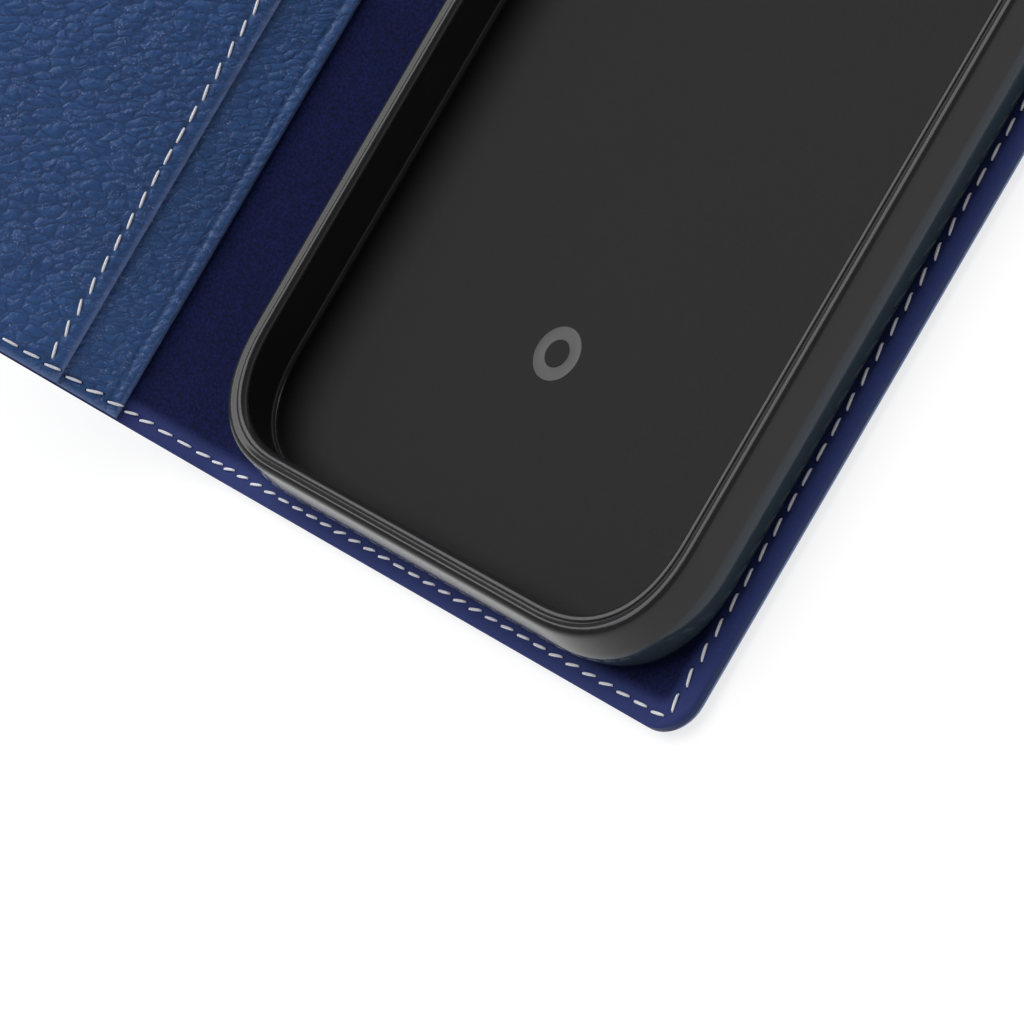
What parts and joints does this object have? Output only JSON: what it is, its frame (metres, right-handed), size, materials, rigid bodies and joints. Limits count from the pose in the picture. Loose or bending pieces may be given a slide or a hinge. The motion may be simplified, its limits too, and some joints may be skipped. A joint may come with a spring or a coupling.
{
  "type": "phone wallet case",
  "caption": "Leather bookfold phone wallet: a hard phone tray on the back cover, a soft spine, and a front cover with a bill pocket and stepped card pockets.",
  "frame": {"origin": "centre of the back cover's outer face", "axes": "+X toward the back cover's free edge, +Y toward the phone's top, +Z out of the face that the phone lies in"},
  "size_m": [0.1563, 0.1706, 0.075],
  "materials": {
    "leather": "pebbled full-grain, satin",
    "suede": "short navy microsuede nap",
    "board": "plain fibreboard",
    "interliner": "bonded non-woven",
    "liner": "plain weave",
    "adhesive": "matte film",
    "tray": "glossy black, matte floor",
    "thread": "twisted thread"
  },
  "bodies": {
    "back_cover": {"back_leather": "leather", "back_board": "board", "back_lining": "suede", "tray_adhesive": "adhesive", "phone_tray": "tray", "back_stitching": "thread"},
    "spine": {"spine_leather": "leather", "spine_interliner": "interliner", "spine_lining": "suede", "spine_stitching": "thread"},
    "front_cover": {"front_leather": "leather", "front_board": "board", "front_lining": "suede", "bill_pocket": "leather", "card_liner": "liner", "card_panel": "leather", "card_pocket_rear": "leather", "card_pocket_middle": "leather", "card_pocket_front": "leather", "pocket_stitching": "thread", "front_stitching": "thread"}
  },
  "joints": [
    {"name": "spine_fold", "type": "hinge", "parent": "back_cover", "child": "spine", "pos_m": [-0.04325, 0, 0.0012], "axis": [0, 1, 0], "range_deg": [-113, 67]},
    {"name": "cover_fold", "type": "hinge", "parent": "spine", "child": "front_cover", "pos_m": [-0.05659, 0, 0.00686], "axis": [0, 1, 0], "range_deg": [-117, 63]}
  ]
}
